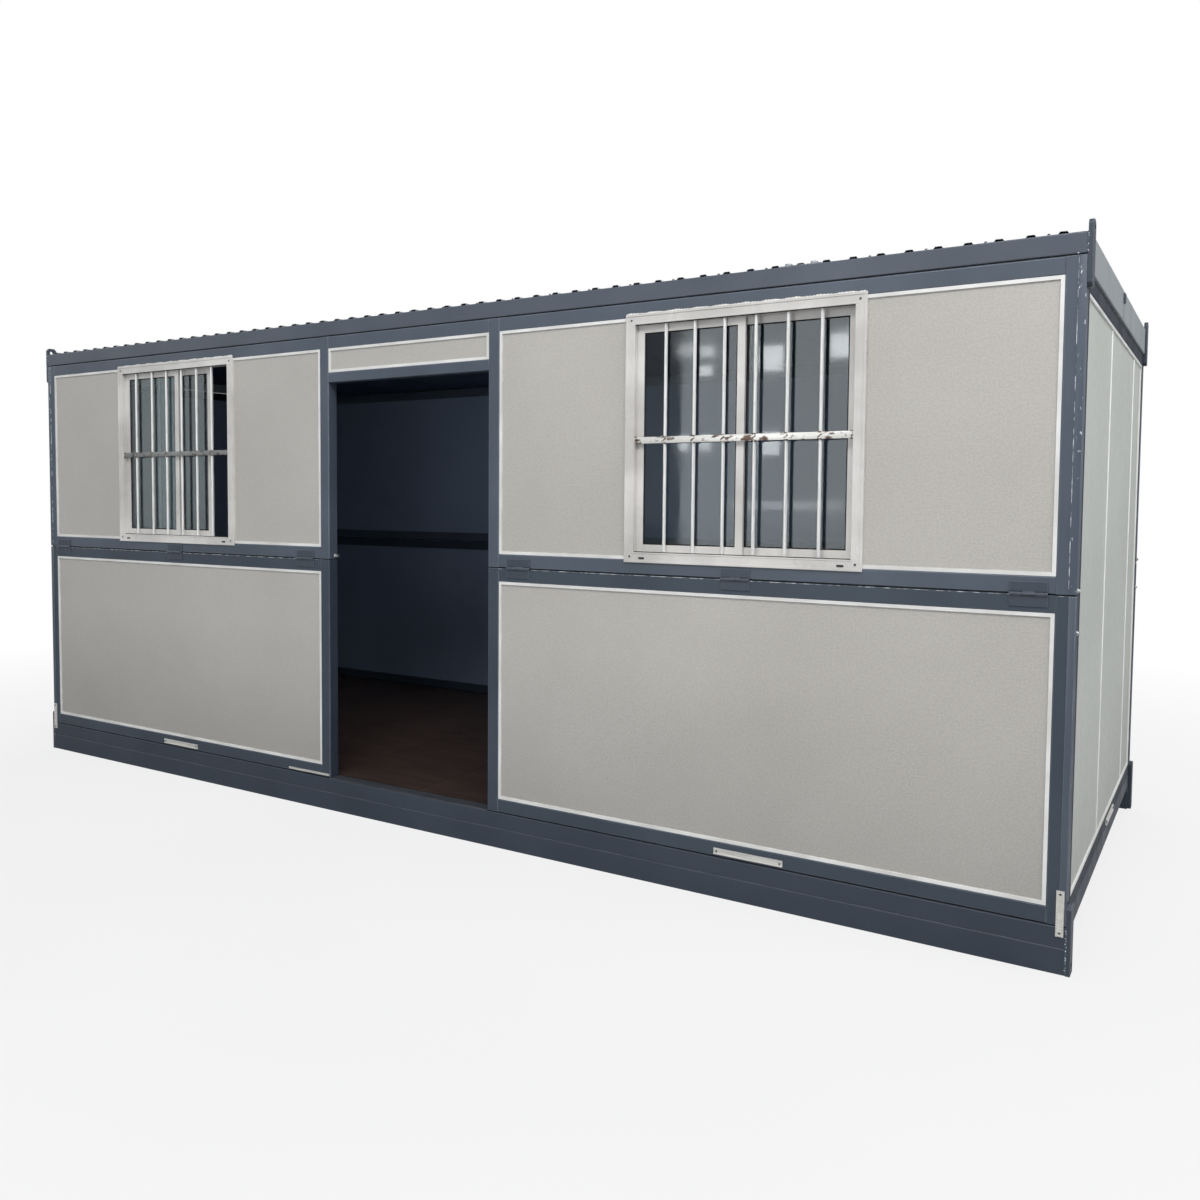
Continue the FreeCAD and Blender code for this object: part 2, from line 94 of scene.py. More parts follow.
def grain(finish, scale, detail=3.0, stretch=(1.0, 1.0, 1.0)):
    """Cloudy noise that is fixed to the piece. Stretch squeezes it along each axis."""
    place = add_node(finish, "ShaderNodeTexCoord")
    spread = add_node(finish, "ShaderNodeMapping", Scale=stretch)
    noise = add_node(finish, "ShaderNodeTexNoise", Scale=scale, Detail=detail)
    link(finish, place.outputs["Object"], spread.inputs["Vector"])
    link(finish, spread.outputs["Vector"], noise.inputs["Vector"])
    return noise.outputs["Fac"]


def between(finish, pattern, dark, light, low=0.35, high=0.65):
    """Two shades that the pattern mixes."""
    ramp = finish.node_tree.nodes.new("ShaderNodeValToRGB")
    ramp.color_ramp.elements[0].position = low
    ramp.color_ramp.elements[0].color = dark
    ramp.color_ramp.elements[1].position = high
    ramp.color_ramp.elements[1].color = light
    link(finish, pattern, ramp.inputs["Fac"])
    return ramp.outputs["Color"]


def spread_to(finish, pattern, low, high):
    """The pattern as a number from low to high."""
    change = add_node(finish, "ShaderNodeMapRange", From_Min=0.3, From_Max=0.7)
    change.inputs["To Min"].default_value = low
    change.inputs["To Max"].default_value = high
    link(finish, pattern, change.inputs["Value"])
    return change.outputs["Result"]


def raise_skin(finish, shader, pattern, strength, distance):
    """The pattern as a fine relief of the surface."""
    bump = add_node(finish, "ShaderNodeBump", Strength=strength, Distance=distance)
    link(finish, pattern, bump.inputs["Height"])
    link(finish, bump.outputs["Normal"], shader.inputs["Normal"])
    return bump


floor_finish, floor_shader = start_finish("studio_floor", shade(178, 178, 178), 0.85)
floor_shade = between(
    floor_finish, grain(floor_finish, 0.6), shade(174, 174, 175), shade(182, 182, 182)
)
link(floor_finish, floor_shade, floor_shader.inputs["Base Color"])
floor_glow = add_node(floor_finish, "ShaderNodeEmission", Strength=1.0)
floor_ray = add_node(floor_finish, "ShaderNodeLightPath")
floor_place = add_node(floor_finish, "ShaderNodeTexCoord")
floor_far = add_node(floor_finish, "ShaderNodeVectorMath")
floor_far.operation = "LENGTH"
link(floor_finish, floor_place.outputs["Object"], floor_far.inputs[0])
floor_fade = add_node(floor_finish, "ShaderNodeMapRange", From_Min=3.2, From_Max=7.5)
floor_fade.inputs["To Min"].default_value = 0.80
floor_fade.inputs["To Max"].default_value = 1.0
link(floor_finish, floor_far.outputs["Value"], floor_fade.inputs["Value"])
floor_share = add_node(floor_finish, "ShaderNodeMath")
floor_share.operation = "MULTIPLY"
link(floor_finish, floor_fade.outputs["Result"], floor_share.inputs[1])
floor_mix = add_node(floor_finish, "ShaderNodeMixShader")
link(floor_finish, floor_ray.outputs["Is Camera Ray"], floor_share.inputs[0])
link(floor_finish, floor_share.outputs["Value"], floor_mix.inputs["Fac"])
link(floor_finish, floor_shader.outputs["BSDF"], floor_mix.inputs[1])
link(floor_finish, floor_glow.outputs["Emission"], floor_mix.inputs[2])
floor_out = floor_finish.node_tree.nodes["Material Output"]
link(floor_finish, floor_mix.outputs["Shader"], floor_out.inputs["Surface"])
floor_shape = bmesh.new()
bmesh.ops.create_grid(floor_shape, x_segments=1, y_segments=1, size=60.0)
floor_mesh = bpy.data.meshes.new("studio_floor")
floor_shape.to_mesh(floor_mesh)
floor_shape.free()
floor_mesh.materials.append(floor_finish)
studio_floor = bpy.data.objects.new("studio_floor", floor_mesh)
bpy.context.scene.collection.objects.link(studio_floor)

sky = bpy.data.worlds.new("studio_sky")
sky.use_nodes = True
sky_nodes = sky.node_tree.nodes
sky_light = sky_nodes["Background"]
sky_light.inputs["Color"].default_value = (0.93, 0.96, 1.0, 1.0)
sky_light.inputs["Strength"].default_value = 0.42
sky_seen = sky_nodes.new("ShaderNodeBackground")
sky_seen.inputs["Color"].default_value = (1.0, 1.0, 1.0, 1.0)
sky_seen.inputs["Strength"].default_value = 1.0
sky_ray = sky_nodes.new("ShaderNodeLightPath")
sky_mix = sky_nodes.new("ShaderNodeMixShader")
sky.node_tree.links.new(sky_ray.outputs["Is Camera Ray"], sky_mix.inputs["Fac"])
sky.node_tree.links.new(sky_light.outputs["Background"], sky_mix.inputs[1])
sky.node_tree.links.new(sky_seen.outputs["Background"], sky_mix.inputs[2])
sky.node_tree.links.new(sky_mix.outputs["Shader"], sky_nodes["World Output"].inputs["Surface"])
bpy.context.scene.world = sky
bpy.context.scene.view_settings.view_transform = "Standard"


def hang_lamp(name, place, aim, wide, high, power, colour=(1.0, 1.0, 1.0)):
    """A soft lamp with a flat face turned to the point it lights."""
    lamp = bpy.data.lights.new(name, "AREA")
    lamp.shape = "RECTANGLE"
    lamp.size = wide
    lamp.size_y = high
    lamp.energy = power
    lamp.color = colour
    holder = bpy.data.objects.new(name, lamp)
    bpy.context.scene.collection.objects.link(holder)
    holder.location = place
    holder.rotation_mode = "QUATERNION"
    holder.rotation_quaternion = (Vector(aim) - Vector(place)).to_track_quat("-Z", "Y")
    holder.visible_camera = False


hang_lamp("front_lamp", (4.0, -6.0, 7.2), (1.6, -1.2, 2.3), 6.0, 2.5, 430.0)
hang_lamp("end_lamp", (8.0, -1.0, 6.5), (2.9, 0.0, 2.5), 5.0, 3.0, 265.0)
hang_lamp("left_lamp", (-8.0, -3.5, 5.0), (-2.9, 0.0, 1.6), 4.0, 3.0, 45.0)
hang_lamp("back_lamp", (-1.0, 7.5, 6.0), (0.0, 1.2, 1.4), 8.0, 3.0, 240.0)

# A weak lamp under the ceiling stands in for the daylight that spreads through a lit room
hang_lamp("room_lamp", (-0.3, -0.6, 2.28), (-0.8, 1.2, 1.9), 1.4, 0.1, 2.8, (0.84, 0.92, 1.0))

# Low boards behind the photographer, which the window panes mirror
hang_lamp("near_board", (-1.1, -10.0, 2.6), (-1.1, 0.0, 2.6), 3.5, 3.4, 90.0, (0.93, 0.98, 1.0))
hang_lamp("far_board", (-12.2, -10.0, 2.6), (-12.2, 0.0, 2.6), 4.4, 3.4, 58.0, (0.90, 1.0, 0.98))
for number, (x, z, wide, high, power) in enumerate((
    (-1.43, 3.32, 0.30, 0.30, 2.4),
    (-0.57, 3.42, 0.28, 0.28, 2.2),
    (-2.55, 3.50, 0.22, 0.12, 0.6),
    (-2.26, 3.46, 0.20, 0.13, 0.6),
    (-2.30, 3.22, 0.22, 0.12, 0.6),
    (-1.43, 2.30, 0.24, 0.28, 1.3),
    (-2.57, 2.33, 0.14, 0.20, 0.6),
    (-2.28, 2.33, 0.16, 0.20, 0.6),
    (-1.20, 1.55, 1.40, 0.10, 0.9),
)):
    hang_lamp(f"yard_gap_{number}", (x, -9.5, z), (x, 0.0, z), wide, high, power)


# The base: skids, end beams and joists
# Rectangular steel tube, cut to length and welded into a flat raft, then sprayed with one
# dark blue-grey satin paint that lies a little thin along its edges, with a painted highlight
# there too. The base takes a slightly darker copy of the paint as painted shade near the ground.

def dress(finish, *names):
    """Gives CAD parts their finish."""
    for name in names:
        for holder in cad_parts[name].material_slots:
            holder.material = finish


def tube_paint(name, dark, light, edge, roughness):
    """Sprayed satin paint: cloudy film, orange peel, and pale edges that are partly worn paint
    and partly a painted highlight.
    """
    finish, shader = start_finish(name, dark, roughness)
    cloud = grain(finish, 1.7, 5.0)
    film = between(finish, cloud, dark, light)
    place = add_node(finish, "ShaderNodeNewGeometry")
    soft_edge = add_node(finish, "ShaderNodeBevel", Radius=0.004)
    soft_edge.samples = 4
    turn_of = add_node(finish, "ShaderNodeVectorMath")
    turn_of.operation = "DOT_PRODUCT"
    link(finish, soft_edge.outputs["Normal"], turn_of.inputs[0])
    link(finish, place.outputs["Normal"], turn_of.inputs[1])
    # Painted highlight and wear: a pale colour along every edge, broken up by noise, stands
    # partly for worn paint and partly for the light the edges catch.
    rub = grain(finish, 9.0, 6.0)
    edge_wear_and_highlight = add_node(finish, "ShaderNodeMapRange", From_Min=0.995, From_Max=0.90)
    link(finish, turn_of.outputs["Value"], edge_wear_and_highlight.inputs["Value"])
    patchy_wear_and_highlight = add_node(finish, "ShaderNodeMath")
    patchy_wear_and_highlight.operation = "MULTIPLY"
    link(finish, edge_wear_and_highlight.outputs["Result"], patchy_wear_and_highlight.inputs[0])
    link(finish, spread_to(finish, rub, 0.3, 1.0), patchy_wear_and_highlight.inputs[1])
    coat = finish.node_tree.nodes.new("ShaderNodeMix")
    coat.data_type = "RGBA"
    coat.inputs[7].default_value = edge
    link(finish, patchy_wear_and_highlight.outputs["Value"], coat.inputs[0])
    link(finish, film, coat.inputs[6])
    link(finish, coat.outputs[2], shader.inputs["Base Color"])
    gloss = spread_to(finish, grain(finish, 6.0, 4.0), roughness - 0.06, roughness + 0.10)
    link(finish, gloss, shader.inputs["Roughness"])
    peel = raise_skin(finish, shader, grain(finish, 160.0, 2.0), 0.12, 0.001)
    link(finish, soft_edge.outputs["Normal"], peel.inputs["Normal"])
    return finish


frame_paint = tube_paint(
    "frame_paint", shade(51, 61, 73), shade(61, 71, 83), shade(136, 144, 156), 0.42
)
joist_paint = tube_paint(
    "joist_paint", shade(44, 50, 58), shade(54, 60, 68), shade(86, 90, 96), 0.6
)
# Painted shade: the base's copy of the frame paint is a little darker, for the shade near the
# ground.
base_shaded_paint = tube_paint(
    "base_shaded_paint", shade(46, 55, 67), shade(54, 63, 76), shade(118, 126, 138), 0.44
)
dress(base_shaded_paint, "base_long_beams", "base_end_beams")
dress(joist_paint, "floor_joists")


# Welds where the lifting lugs meet the beams
# Short runs of arc weld down both sides of each lug, left lumpy and sprayed over, with a few
# bright specks where the paint didn't take.

def put_piece(name, shape, finish, body, smooth=True):
    """Makes a piece of a finished shape and fixes it to the body it moves with."""
    mesh = bpy.data.meshes.new(name)
    shape.to_mesh(mesh)
    shape.free()
    mesh.materials.append(finish)
    if smooth:
        mesh.shade_smooth()
        mesh.set_sharp_from_angle(angle=math.radians(35.0))
    piece = bpy.data.objects.new(name, mesh)
    bpy.context.scene.collection.objects.link(piece)
    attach(piece, body)
    return piece


def add_weld(shape, start, end, size, seed):
    """A row of overlapping weld drops from start to end."""
    start, end = Vector(start), Vector(end)
    count = max(2, int((end - start).length / (size * 0.9)))
    for number in range(count + 1):
        wobble = 1.0 + 0.18 * math.sin(seed + number * 2.3)
        centre = start.lerp(end, number / count)
        bmesh.ops.create_icosphere(
            shape, subdivisions=2, radius=size * wobble, matrix=Matrix.Translation(centre)
        )


weld_metal, weld_shader = start_finish("painted_weld", shade(70, 80, 92), 0.4)
weld_film = between(
    weld_metal, grain(weld_metal, 120.0, 2.0), shade(66, 76, 88), shade(214, 218, 222), 0.56, 0.64
)
link(weld_metal, weld_film, weld_shader.inputs["Base Color"])
raise_skin(weld_metal, weld_shader, grain(weld_metal, 400.0, 2.0), 0.3, 0.0008)

lug_inside = 2.925
beam_end = 2.896
lug_front = 1.2135
lug_back = 1.154
weld_shape = bmesh.new()
for end_side in (-1, 1):
    for wall_side in (-1, 1):
        x = end_side * lug_inside
        seed = end_side * 3 + wall_side
        near = end_side * beam_end
        front, inner = wall_side * lug_front, wall_side * lug_back
        add_weld(weld_shape, (x, front, 2.424), (x, front, 2.487), 0.0032, seed)
        add_weld(weld_shape, (x, front, 0.020), (x, front, 0.158), 0.0032, seed)
        add_weld(weld_shape, (x, inner, 2.426), (x, inner, 2.486), 0.0032, seed)
        add_weld(weld_shape, (near, front, 2.4215), (x, front, 2.4215), 0.0022, seed)
put_piece("lug_welds", weld_shape, weld_metal, "root")


# Lifting lugs
# Flame-cut steel plates with a shackle eye, welded to the ends of the long beams so that the
# folded houses can be stacked and lifted. They have the paint of the frame, more scratched.

lug_paint = tube_paint(
    "lug_paint", shade(50, 58, 69), shade(60, 69, 80), shade(128, 134, 142), 0.38
)
dress(lug_paint, "base_corner_lugs", "roof_corner_lugs")


# Wall frames
# Square steel tube welded into flat frames, one above the other, painted as the base is, with
# a lighter copy of the paint above the fold as painted light from above. Each corner shows the
# ground-off line of its weld.

dress(frame_paint, "front_lower_frames", "back_lower_frame")
# Painted light: the frames above the fold take a lighter copy of the frame paint.
lit_frame_paint = tube_paint(
    "lit_frame_paint", shade(70, 79, 91), shade(81, 90, 103), shade(150, 158, 170), 0.38
)
dress(lit_frame_paint, "front_upper_frames", "back_upper_frame", "door_head_rails")


def edges_of(corners):
    """Every edge at the corners once, in an order that is the same each run."""
    return list(dict.fromkeys(side for corner in corners for side in corner.link_edges))


def add_bar(shape, low, high, edge=0.0, steps=2):
    """A straight bar from its low corner to its high one, with its edges eased."""
    low, high = Vector(low), Vector(high)
    corners = bmesh.ops.create_cube(shape, size=1.0)["verts"]
    bmesh.ops.scale(shape, vec=high - low, verts=corners)
    bmesh.ops.translate(shape, vec=(low + high) / 2, verts=corners)
    if edge:
        bmesh.ops.bevel(
            shape, geom=edges_of(corners), offset=edge, offset_type="OFFSET", segments=steps,
            profile=0.5, affect="EDGES", material=-1,
        )


wall_face = 1.215
post_edge = 0.56
stile_edge = 0.03
panel_edge = 2.86
joint_shape = bmesh.new()
for wall_side in (-1, 1):
    near, far = sorted((wall_side * (wall_face - 0.001), wall_side * (wall_face + 0.0004)))
    ends = (-panel_edge, panel_edge)
    for x in (*ends, -post_edge, post_edge) if wall_side < 0 else ends:
        for low, high in ((0.171, 0.229), (1.231, 1.289), (1.296, 1.354), (2.356, 2.414)):
            add_bar(joint_shape, (x - 0.0012, near, low), (x + 0.0012, far, high), 0.0004, 1)
put_piece("ground_weld_lines", joint_shape, frame_paint, "root")

# A rolled edge strip stands 1 mm proud along each corner of the long walls. Above the fold,
# straps have chipped its paint down to bright steel in specks.
# The strip's paint has the lighter, painted-light tone of the frames above the fold.
chipped_lit_paint, chip_shader = start_finish("chipped_lit_paint", shade(70, 80, 92), 0.4)
chip_spots = between(
    chipped_lit_paint, grain(chipped_lit_paint, 95.0, 6.0, (1.0, 1.0, 0.4)), shade(76, 86, 99),
    shade(200, 205, 210), 0.655, 0.72,
)
link(chipped_lit_paint, chip_spots, chip_shader.inputs["Base Color"])
raise_skin(chipped_lit_paint, chip_shader, grain(chipped_lit_paint, 160.0, 2.0), 0.12, 0.001)
edge_shape = bmesh.new()
low_edge_shape = bmesh.new()
for wall_side in (-1, 1):
    near, far = sorted((wall_side * (wall_face - 0.001), wall_side * (wall_face + 0.0014)))
    for end_side in (-1, 1):
        left, right = sorted((end_side * 2.9010, end_side * 2.9245))
        add_bar(low_edge_shape, (left, near, 0.171), (right, far, 1.2895), 0.0012, 3)
        add_bar(edge_shape, (left, near, 1.2955), (right, far, 2.4145), 0.0012, 3)
put_piece("upper_edge_strips", edge_shape, chipped_lit_paint, "root")
# The lower strips also take the lighter, painted-light copy of the frame paint.
put_piece("lower_edge_strips", low_edge_shape, lit_frame_paint, "root")

# Beside those strips and along the fold a broken bright line is painted on: partly paint rubbed
# off to steel, partly a painted highlight where the edges catch the light
worn_and_highlit_edge, wear_and_highlight_shader = start_finish("worn_and_highlit_edge", shade(150, 158, 168), 0.35)
wear_and_highlight_spots = between(
    worn_and_highlit_edge, grain(worn_and_highlit_edge, 70.0, 4.0, (0.5, 1.0, 0.5)), shade(84, 94, 107),
    shade(222, 226, 230), 0.45, 0.62,
)
link(worn_and_highlit_edge, wear_and_highlight_spots, wear_and_highlight_shader.inputs["Base Color"])
wear_and_highlight_shape = bmesh.new()
for wall_side in (-1, 1):
    near, far = sorted((wall_side * (wall_face - 0.001), wall_side * (wall_face + 0.0016)))
    for end_side in (-1, 1):
        left, right = sorted((end_side * 2.8992, end_side * 2.9012))
        add_bar(wear_and_highlight_shape, (left, near, 1.310), (right, far, 2.4140), 0.0004, 1)
        near_post = post_edge if wall_side < 0 else stile_edge
        left, right = sorted((end_side * near_post, end_side * 2.8985))
        add_bar(wear_and_highlight_shape, (left, near, 1.2874), (right, far, 1.2894), 0.0004, 1)
put_piece("worn_and_highlit_edges", wear_and_highlight_shape, worn_and_highlit_edge, "root")


# Wall panels
# Sandwich panels with a pale warm grey steel skin outside, embossed like plaster, round a
# foam core, darkened towards the foot as painted shade. The inner skin is painted blue-grey as
# the shade and blue cast of the dim room. They are pushed into the frames and held by beads.

def panel_skin(name, axis, face, dark, light, relief):
    """A sheet skin, pale outside with painted shade darkening it towards the foot, and blue-grey
    painted shade inside the wall.
    """
    finish, shader = start_finish(name, light, 0.5)
    cloud = between(finish, grain(finish, 1.1, 4.0), dark, light, 0.3, 0.7)
    mottle = between(finish, grain(finish, 130.0, 3.0), dark, light, 0.42, 0.58)
    outside = finish.node_tree.nodes.new("ShaderNodeMix")
    outside.data_type = "RGBA"
    outside.inputs[0].default_value = 0.42
    link(finish, cloud, outside.inputs[6])
    link(finish, mottle, outside.inputs[7])
    place = add_node(finish, "ShaderNodeTexCoord")
    parts = add_node(finish, "ShaderNodeSeparateXYZ")
    link(finish, place.outputs["Object"], parts.inputs["Vector"])
    depth = add_node(finish, "ShaderNodeMath")
    depth.operation = "ABSOLUTE"
    link(finish, parts.outputs[axis], depth.inputs[0])
    past = add_node(finish, "ShaderNodeMath")
    past.operation = "GREATER_THAN"
    past.inputs[1].default_value = face
    link(finish, depth.outputs["Value"], past.inputs[0])
    # Painted shade: the outer skin darkens towards the foot, to 78 % of its colour at 0.15 m.
    foot = add_node(finish, "ShaderNodeMapRange", From_Min=0.15, From_Max=0.95)
    foot.inputs["To Min"].default_value = 0.78
    foot.inputs["To Max"].default_value = 1.0
    link(finish, parts.outputs["Z"], foot.inputs["Value"])
    foot_shaded_colour = add_node(finish, "ShaderNodeVectorMath")
    foot_shaded_colour.operation = "SCALE"
    link(finish, outside.outputs[2], foot_shaded_colour.inputs[0])
    link(finish, foot.outputs["Result"], foot_shaded_colour.inputs["Scale"])
    # Painted shade: the inner face takes a blue-grey for the dim, blue-cast light inside the
    # room.
    skin = finish.node_tree.nodes.new("ShaderNodeMix")
    skin.data_type = "RGBA"
    skin.inputs[6].default_value = shade(132, 144, 166)
    link(finish, past.outputs["Value"], skin.inputs[0])
    link(finish, foot_shaded_colour.outputs["Vector"], skin.inputs[7])
    link(finish, skin.outputs[2], shader.inputs["Base Color"])
    gloss = spread_to(finish, grain(finish, 30.0, 3.0), 0.40, 0.58)
    link(finish, gloss, shader.inputs["Roughness"])
    raise_skin(finish, shader, relief(finish), 0.5, 0.002)
    return finish


def plaster_relief(finish):
    """Small soft lumps, about 5 mm apart, as the embossing rolls leave."""
    return grain(finish, 170.0, 4.0)


wall_panel = panel_skin(
    "wall_panel", "Y", 1.19, shade(176, 172, 166), shade(194, 190, 184), plaster_relief
)
dress(
    wall_panel, "front_lower_panels", "front_upper_panels", "transom_panel",
    "back_lower_panels", "back_upper_panels",
)


# Panel beads
# White plastic strip, mitred at the corners and pressed in against the frame. A thin lip on
# its inner edge lies on the panel, painted greyer than the strip as a painted shadow line beside
# it.

bead_white, bead_shader = start_finish("bead_white", shade(226, 226, 224), 0.38)
bead_shade = between(
    bead_white, grain(bead_white, 5.0, 4.0), shade(214, 213, 209), shade(236, 236, 234)
)
link(bead_white, bead_shade, bead_shader.inputs["Base Color"])
raise_skin(bead_white, bead_shader, grain(bead_white, 90.0, 2.0), 0.08, 0.001)
dress(bead_white, "front_beads", "back_beads", "right_end_bead", "left_end_bead")


def add_strip_frame(shape, low, high, width, near, far, edge=0.0005):
    """Four strips round an upright opening of the front or back wall."""
    (x0, z0), (x1, z1) = low, high
    add_bar(shape, (x0, near, z0), (x1, far, z0 + width), edge, 1)
    add_bar(shape, (x0, near, z1 - width), (x1, far, z1), edge, 1)
    add_bar(shape, (x0, near, z0 + width), (x0 + width, far, z1 - width), edge, 1)
    add_bar(shape, (x1 - width, near, z0 + width), (x1, far, z1 - width), edge, 1)


panel_face = 1.207
lip_inset = 0.012
panel_heights = ((0.23, 1.23), (1.355, 2.355))


def panel_spans(inner):
    """The openings of a long wall that end at the given distance from its middle."""
    spans = []
    for foot, head in panel_heights:
        spans.append(((-panel_edge, foot), (-inner, head)))
        spans.append(((inner, foot), (panel_edge, head)))
    return spans


front_spans = [*panel_spans(post_edge), ((-0.5, 2.235), (0.5, 2.355))]
back_spans = panel_spans(stile_edge)
# Painted shadow: the lip is greyer than the bead, for the thin shadow line beside the strip.
lip_shadow_grey, lip_shadow_shader = start_finish("lip_shadow_grey", shade(196, 193, 187), 0.42)
lip_shadow_colour = between(
    lip_shadow_grey, grain(lip_shadow_grey, 20.0), shade(184, 181, 175), shade(208, 206, 200)
)
link(lip_shadow_grey, lip_shadow_colour, lip_shadow_shader.inputs["Base Color"])
lip_shape = bmesh.new()
for wall_side, spans in ((-1, front_spans), (1, back_spans)):
    near, far = sorted((wall_side * (panel_face - 0.001), wall_side * (panel_face + 0.0015)))
    for (x0, z0), (x1, z1) in spans:
        low = (x0 + lip_inset, z0 + lip_inset)
        high = (x1 - lip_inset, z1 - lip_inset)
        add_strip_frame(lip_shape, low, high, 0.0025, near, far)
put_piece("bead_lips", lip_shape, lip_shadow_grey, "root")


# Rubber seals between the frames
# Black rubber strip that closes the gaps at the foot, at the fold and under the roof.

seal_rubber, seal_shader = start_finish("seal_rubber", shade(20, 21, 22), 0.75)
seal_shade = between(
    seal_rubber, grain(seal_rubber, 40.0), shade(16, 16, 17), shade(30, 31, 32)
)
link(seal_rubber, seal_shade, seal_shader.inputs["Base Color"])
raise_skin(seal_rubber, seal_shader, grain(seal_rubber, 300.0), 0.2, 0.001)
dress(seal_rubber, "wall_seals")


# Fold hinges of the long walls
# Flat steel leaves on the faces of the fold rails, with a pin through five knuckles. The
# leaves are welded along their long edges and painted over with the frame.

hinge_paint = tube_paint(
    "hinge_paint", shade(54, 63, 75), shade(63, 72, 84), shade(134, 140, 148), 0.36
)
dress(
    hinge_paint, "front_hinge_lower_leaves", "front_hinge_upper_leaves",
    "back_hinge_lower_leaves", "back_hinge_upper_leaves", "roof_hinge_leaves",
    "right_end_hinge_leaves", "left_end_hinge_leaves",
)


# Transport lock bars
# Pale extruded aluminium strips with two raised ridges, bolted over the foot seam and the
# corners so that the walls stay put on the road. A dark screw holds each end.

def brushed_metal(name, dark, light, roughness, stretch):
    """Bare metal with fine lines drawn along it."""
    finish, shader = start_finish(name, light, roughness, 1.0)
    lines = grain(finish, 60.0, 5.0, stretch)
    link(finish, between(finish, lines, dark, light), shader.inputs["Base Color"])
    gloss = spread_to(finish, lines, roughness - 0.08, roughness + 0.1)
    link(finish, gloss, shader.inputs["Roughness"])
    raise_skin(finish, shader, lines, 0.1, 0.0006)
    return finish


bare_aluminium = brushed_metal(
    "bare_aluminium", shade(214, 211, 205), shade(240, 238, 232), 0.36, (0.15, 4.0, 4.0)
)
bare_aluminium.node_tree.nodes["Principled BSDF"].inputs["Metallic"].default_value = 0.55
dress(bare_aluminium, "front_lock_bars", "right_end_lock_bar", "left_end_lock_bar")


def add_screw(shape, place, outward, radius, height):
    """A pan-head screw that stands on a face, its head eased and its drive a small dimple."""
    outward = Vector(outward)
    spin = outward.to_track_quat("Z", "Y").to_matrix().to_4x4()
    at = Matrix.Translation(Vector(place) + outward * (height / 2)) @ spin
    head = bmesh.ops.create_cone(
        shape, cap_ends=True, cap_tris=False, segments=16, radius1=radius,
        radius2=radius * 0.8, depth=height, matrix=at,
    )["verts"]
    shape.normal_update()
    top = next(face for corner in head for face in corner.link_faces
               if len(face.verts) == 16 and face.normal.dot(outward) > 0.9)
    bmesh.ops.inset_individual(
        shape, faces=[top], thickness=radius * 0.38, depth=0.0, use_even_offset=True
    )
    bmesh.ops.translate(shape, vec=-outward * height * 0.4, verts=list(top.verts))


dark_screw, screw_shader = start_finish("dark_screw", shade(52, 54, 58), 0.42, 0.8)
screw_shade = between(
    dark_screw, grain(dark_screw, 150.0), shade(40, 42, 45), shade(96, 98, 102)
)
link(dark_screw, screw_shade, screw_shader.inputs["Base Color"])

bar_face = -1.219
bar_screws = bmesh.new()
for x in (-1.811, -1.545, 1.647, 1.913):
    add_screw(bar_screws, (x, bar_face, 0.191), (0, -1, 0), 0.0038, 0.003)
for x in (-2.905, 2.905):
    for z in (0.145, 0.279):
        add_screw(bar_screws, (x, bar_face, z), (0, -1, 0), 0.0038, 0.003)
put_piece("lock_bar_screws", bar_screws, dark_screw, "root")
for end_side, body in ((1, "right_end_wall"), (-1, "left_end_wall")):
    end_screws = bmesh.new()
    for y in (0.027, 0.293):
        add_screw(end_screws, (end_side * 2.929, y, 0.215), (end_side, 0, 0), 0.006, 0.003)
    put_piece(body + "_bar_screws", end_screws, dark_screw, body)


# Windows: frame, sashes and glass
# White powder-coated aluminium. The fixed frame laps over the panel with a doubled lip, and
# two sashes slide in its track on the inside of the guard. The glass is clear and reflective.

window_white, window_shader = start_finish("window_white", shade(220, 217, 213), 0.33)
window_shade = between(
    window_white, grain(window_white, 4.0, 5.0), shade(194, 191, 187), shade(220, 217, 213)
)
link(window_white, window_shade, window_shader.inputs["Base Color"])
window_gloss = spread_to(window_white, grain(window_white, 12.0), 0.25, 0.42)
link(window_white, window_gloss, window_shader.inputs["Roughness"])
raise_skin(window_white, window_shader, grain(window_white, 120.0), 0.06, 0.001)
dress(window_white, "window_frames", "window_sashes")

pane_glass, pane_shader = start_finish("pane_glass", shade(176, 190, 196), 0.03)
pane_shader.inputs["Transmission Weight"].default_value = 1.0
pane_shader.inputs["IOR"].default_value = 1.5
pane_smear = spread_to(pane_glass, grain(pane_glass, 3.0, 6.0), 0.01, 0.07)
link(pane_glass, pane_smear, pane_shader.inputs["Roughness"])
dress(pane_glass, "window_glass")

window_face = -1.22
lap_back = -1.219
left_shift = -3.42
window_places = (0.0, left_shift)
lip_shape = bmesh.new()
lip_screws = bmesh.new()
drain_caps = bmesh.new()
for shift in window_places:
    low, high = (1.21 + shift, 1.343), (2.21 + shift, 2.367)
    add_strip_frame(lip_shape, low, high, 0.010, -1.2225, lap_back, 0.001)
    low, high = (1.247 + shift, 1.380), (2.173 + shift, 2.330)
    add_strip_frame(lip_shape, low, high, 0.006, -1.2218, lap_back, 0.001)
    for x in (1.236, 2.184):
        for z in (1.368, 2.342):
            add_screw(lip_screws, (x + shift, window_face, z), (0, -1, 0), 0.0045, 0.0025)
    for x in (1.292, 2.128):
        low, high = (x + shift - 0.013, -1.2225, 1.358), (x + shift + 0.013, -1.2195, 1.366)
        add_bar(drain_caps, low, high, 0.0015)
put_piece("window_lips", lip_shape, window_white, "root")
put_piece("window_corner_screws", lip_screws, dark_screw, "root")
black_plastic, plastic_shader = start_finish("black_plastic", shade(28, 28, 30), 0.5)
plastic_shade = between(
    black_plastic, grain(black_plastic, 60.0), shade(22, 22, 24), shade(40, 40, 42)
)
link(black_plastic, plastic_shade, plastic_shader.inputs["Base Color"])
put_piece("window_drain_caps", drain_caps, black_plastic, "root")


